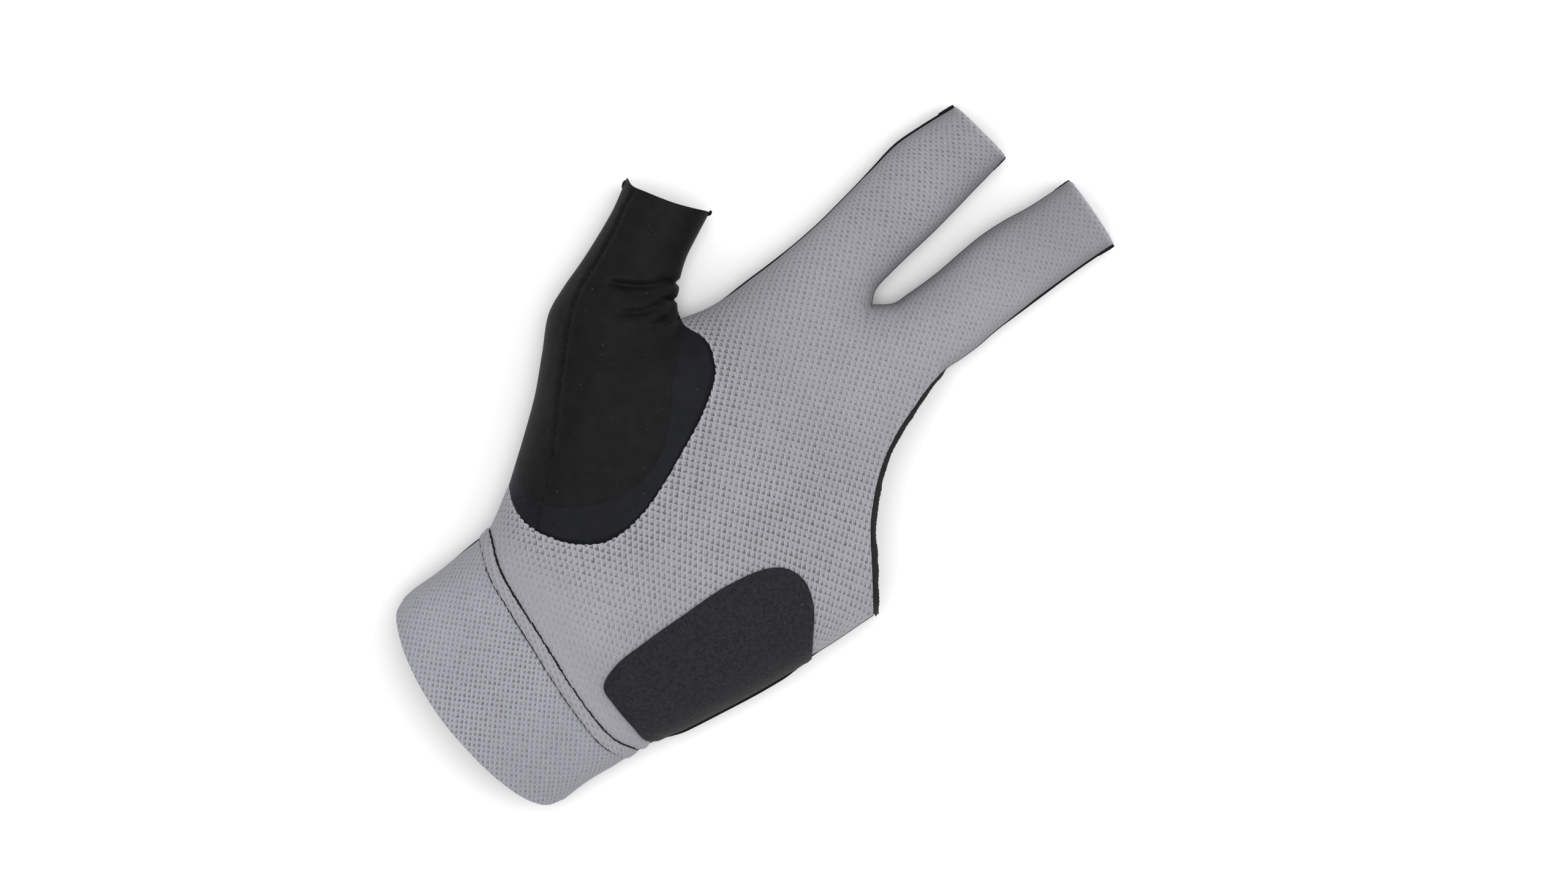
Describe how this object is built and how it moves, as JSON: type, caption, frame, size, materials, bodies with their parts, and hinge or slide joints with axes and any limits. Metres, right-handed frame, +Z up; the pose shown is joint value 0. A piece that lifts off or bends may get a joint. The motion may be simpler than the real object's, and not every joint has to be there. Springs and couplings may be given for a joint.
{
  "type": "three-finger billiard glove",
  "caption": "Left-hand billiard glove with open thumb, index and middle tubes, a bound side opening, a heel pad and a wrist cuff.",
  "frame": {"origin": "on the surface it lies on, under the middle of the glove", "axes": "+Y from the wrist to the fingertips, +X towards the little-finger side, +Z up out of the palm"},
  "size_m": [0.1296, 0.2195, 0.0289],
  "materials": {
    "grey_mesh": "matte knitted mesh",
    "black_lycra": "smooth stretch knit with a soft sheen",
    "navy_lycra": "smooth stretch knit",
    "black_suede": "matte napped suede",
    "black_binding": "matte overlocked edge"
  },
  "bodies": {
    "root": {"palm_panel": "grey_mesh", "back_panel": "black_lycra", "cuff_front": "grey_mesh", "cuff_back": "black_lycra", "heel_pad": "black_suede", "wrist_seam_band": "grey_mesh", "thumb_gusset": "navy_lycra", "thumb_sleeve": "black_lycra", "palm_binding": "black_binding", "back_binding": "black_binding"}
  },
  "joints": []
}
